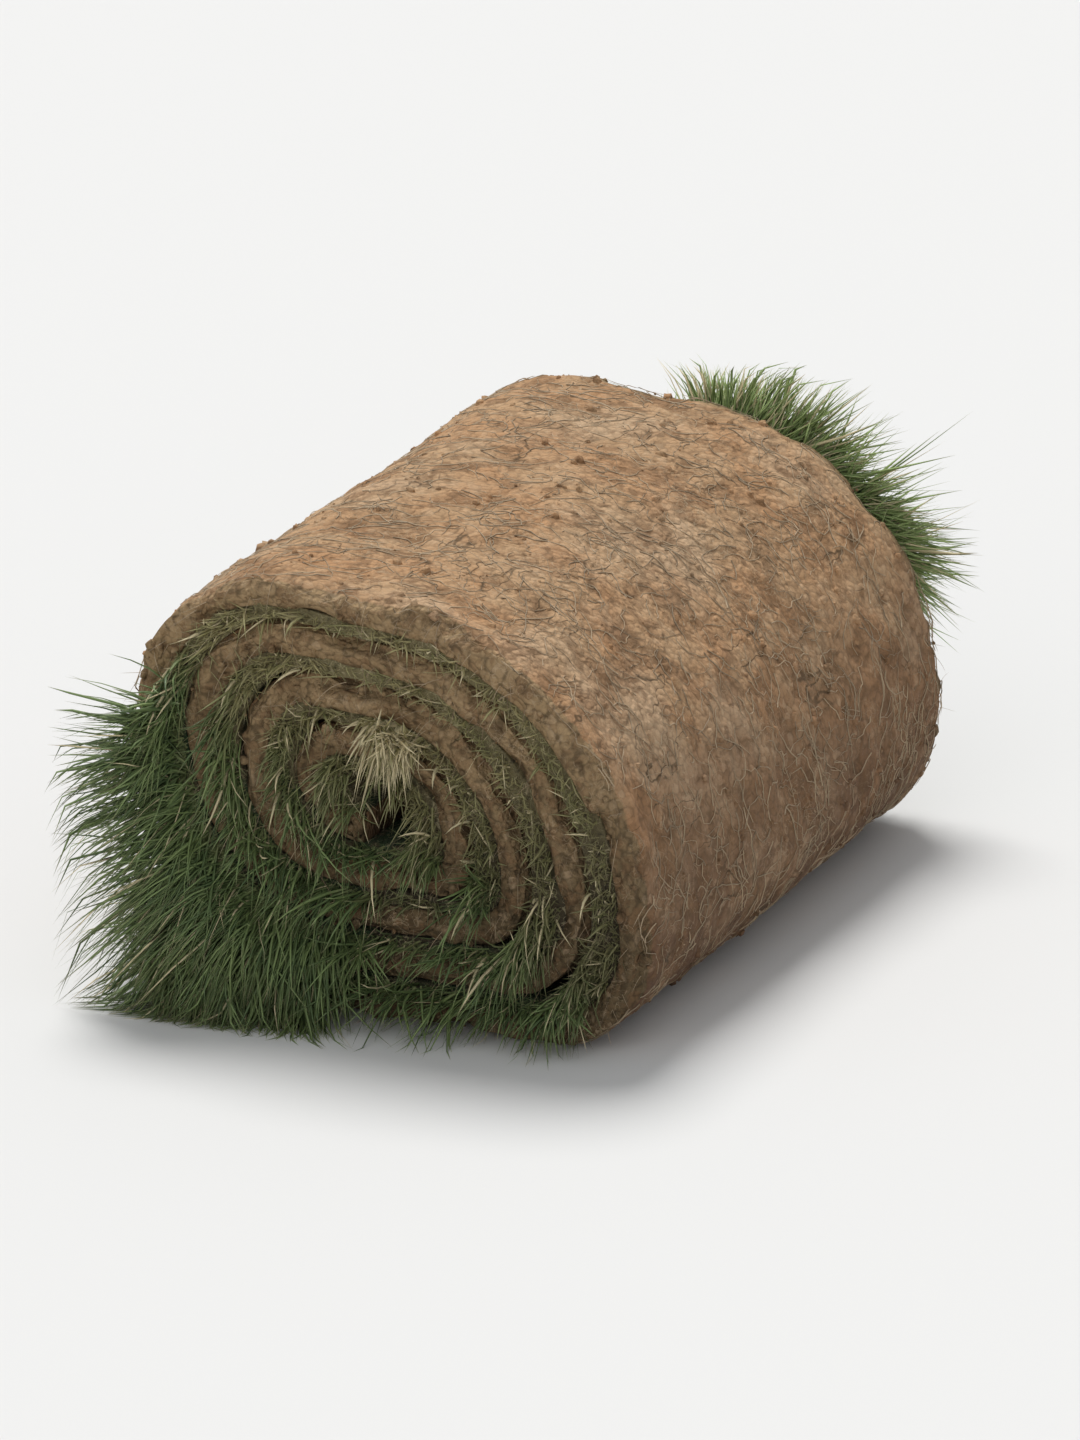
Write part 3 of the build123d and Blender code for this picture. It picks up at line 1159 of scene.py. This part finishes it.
def thatch_material(settings):
    """The matted foot of the grass: the shaded green where it is lush, as painted shade, and elsewhere
    withered at the top and dark brown by the ground, partly rot and partly painted shade, with fine pale
    stems and painted shadow in its holes."""
    material, nodes, shader, place = new_material("Thatch")
    mat = nodes.scaled(place, (1.0, 0.25, 1.0))
    fibres = nodes.group(fibre_group(), mat)["Fibres"]
    patchy = nodes.ease(nodes.noise(place, 70, 4), 0.35, 0.65, 0.3, 1.3)
    bare = nodes.math("SUBTRACT", patchy, nodes.attribute("lush"))
    # Darker towards the ground, partly rot and partly painted shade
    dry = nodes.mix(nodes.height(place, 0.05, DRY_UNSHADED_HEIGHT), settings.rotten_and_shade, darker(settings.withered, 0.55))
    # Lush thatch takes the shaded green, as painted shade
    colour = nodes.mix(nodes.ease(bare, -0.3, 0.5), settings.shaded_green, dry)
    colour = nodes.mix(nodes.times(fibres, 0.35), colour, settings.straw)
    holes = nodes.ease(nodes.noise(mat, 260, 3, 0.7), 0.5, 0.7, 0.0, 0.7)
    nodes.fill(shader.inputs, {
        "Base Color": nodes.mix(holes, colour, settings.shadow),
        "Normal": nodes.bump(nodes.noise(mat, 400, 4, 0.7), 1.0, 0.003), "Roughness": 0.9,
    })
    return material


def blade_material(settings):
    """A grass blade: pale at its foot, painted between a shaded and a lit green, withered where the end isn't
    lush and darker towards the ground, partly wet pressed stems and partly painted shade, and straw when
    dead."""
    name = "Blade"
    if name in bpy.data.materials:
        return bpy.data.materials[name]
    material, nodes, shader, place = new_material(name)
    light_and_age = nodes.attribute("light_and_age")
    along = nodes.attribute("along")
    # Painted light and shade: a green between the shaded and the lit one, by the blade's share of light
    green = nodes.mix(nodes.ease(light_and_age, 0.0, 0.75), settings.shaded_green, settings.lit_green)
    # Withered stems darken towards the ground, partly wet and pressed and partly painted shade
    dry = nodes.mix(nodes.height(place, 0.05, DRY_UNSHADED_HEIGHT), darker(settings.withered, 0.4), settings.withered)
    green = nodes.mix(nodes.ease(nodes.attribute("lush"), 0.55, 0.0, 0.0, 0.85), green, dry)
    green = nodes.mix(nodes.ease(nodes.noise(place, 45, 2), 0.4, 0.7, 0.0, 0.3), green, settings.mossy)
    colour = nodes.mix(nodes.ease(light_and_age, 0.78, 0.86), green, settings.straw)
    colour = nodes.mix(nodes.ease(along, 0.3, 0.0, 0.0, 0.5), colour, settings.foot)
    colour = nodes.mix(nodes.ease(along, 0.82, 1.0, 0.0, 0.4), colour, settings.straw)
    streaks = nodes.noise(place, 700, 2)
    nodes.fill(shader.inputs, {
        "Base Color": colour, "Normal": nodes.bump(streaks, 0.35, 0.0003),
        "Roughness": nodes.ease(streaks, 0.3, 0.7, 0.42, 0.62), "Specular IOR Level": 0.4,
    })
    return material


# Stage

class TURF_OT_stage(bpy.types.Operator):
    """Set the camera, the lamps and a plain pale floor"""

    bl_idname = "turf.stage"
    bl_label = "Camera, Floor and Lamps"

    def execute(self, context):
        scene = context.scene
        settings = scene.turf_stage
        self.make_camera(scene, settings)
        self.make_floor(scene, settings)
        self.make_lamps(scene)
        self.make_sky(scene, settings)
        scene.view_settings.view_transform = "Standard"
        return {"FINISHED"}

    def make_camera(self, scene, settings):
        """A long lens at the photograph's angle, framed on the roll."""
        data = bpy.data.cameras.new("Camera")
        camera = bpy.data.objects.new("Camera", data)
        scene.collection.objects.link(camera)
        target = np.array([0.0, 0.0, 0.1])
        level = math.cos(settings.elevation)
        back = np.array([
            math.sin(settings.azimuth) * level, -math.cos(settings.azimuth) * level,
            math.sin(settings.elevation),
        ])
        camera.location = target + settings.distance * back
        camera.rotation_euler = (math.pi / 2 - settings.elevation, 0, settings.azimuth)
        data.sensor_fit = "HORIZONTAL"
        data.lens = data.sensor_width * settings.distance / settings.framed_width
        data.clip_end = 100
        scene.camera = camera

    def make_floor(self, scene, settings):
        """A wide flat floor."""
        reach = 40.0
        mesh = bpy.data.meshes.new("Floor")
        corners = [(-reach, -reach, 0), (reach, -reach, 0), (reach, reach, 0), (-reach, reach, 0)]
        mesh.from_pydata(corners, [], [(0, 1, 2, 3)])
        material, nodes, shader, _ = new_material("Floor")
        nodes.fill(shader.inputs, {"Base Color": settings.floor, "Roughness": 0.9})
        mesh.materials.append(material)
        floor = bpy.data.objects.new("Floor", mesh)
        scene.collection.objects.link(floor)

    def make_lamps(self, scene):
        """A broad key from above, the back and the left, and a weak, broader fill from the front. Each shines
        from its direction towards the roll."""
        lamps = (
            ("Key", (-1.0, 1.3, 3.0), 26, 2.6),
            ("Fill", (0.6, -3.2, 2.2), 60, 0.6),
        )
        for name, direction, spread, strength in lamps:
            data = bpy.data.lights.new(name, "SUN")
            data.angle = math.radians(spread)
            data.energy = strength
            lamp = bpy.data.objects.new(name, data)
            lamp.location = direction
            across, along, up = direction
            tilt = math.atan2(math.hypot(across, along), up)
            lamp.rotation_euler = (tilt, 0, math.atan2(-across, along) + math.pi)
            scene.collection.objects.link(lamp)

    def make_sky(self, scene, settings):
        """An even sky. What the camera and reflections see of it is as pale as the lit floor."""
        world = scene.world or bpy.data.worlds.new("World")
        scene.world = world
        world.use_nodes = True
        nodes = Nodes(world.node_tree)
        background = world.node_tree.nodes["Background"]
        seen = nodes.add("ShaderNodeLightPath").outputs
        shown = nodes.most(seen["Is Camera Ray"], seen["Is Glossy Ray"], seen["Is Transmission Ray"])
        nodes.join(nodes.mix(shown, settings.sky, settings.backdrop), background.inputs["Color"])


# Panel and registration

OPERATORS = (
    TURF_OT_stage, TURF_OT_soil, TURF_OT_thatch, TURF_OT_end_grass, TURF_OT_tail_grass, TURF_OT_roots,
    TURF_OT_crumbs,
)
SETTINGS = {
    "turf_strip": TurfStripSettings,
    "turf_soil": TurfSoilSettings,
    "turf_grass": TurfGrassSettings,
    "turf_stage": TurfStageSettings,
}


class TURF_PT_panel(bpy.types.Panel):
    """Lists the roll's settings and operators."""

    bl_idname = "TURF_PT_panel"
    bl_label = "Roll of Turf"
    bl_space_type = "VIEW_3D"
    bl_region_type = "UI"
    bl_category = "Turf"

    def draw(self, context):
        layout = self.layout
        for key, group in SETTINGS.items():
            box = layout.box()
            settings = getattr(context.scene, key)
            for setting in group.__annotations__:
                box.prop(settings, setting)
        for operator in OPERATORS:
            layout.operator(operator.bl_idname)


def register():
    """Register the classes and put their settings on the scene."""
    for cls in (*SETTINGS.values(), *OPERATORS, TURF_PT_panel):
        bpy.utils.register_class(cls)
    for key, group in SETTINGS.items():
        setattr(bpy.types.Scene, key, bpy.props.PointerProperty(type=group))


def unregister():
    """Take the settings off the scene and the classes out again."""
    for key in SETTINGS:
        delattr(bpy.types.Scene, key)
    for cls in reversed((*SETTINGS.values(), *OPERATORS, TURF_PT_panel)):
        bpy.utils.unregister_class(cls)


def main():
    """Build the roll and its stage."""
    register()
    for operator in OPERATORS:
        module, name = operator.bl_idname.split(".")
        getattr(getattr(bpy.ops, module), name)()


if __name__ == "__main__":
    main()
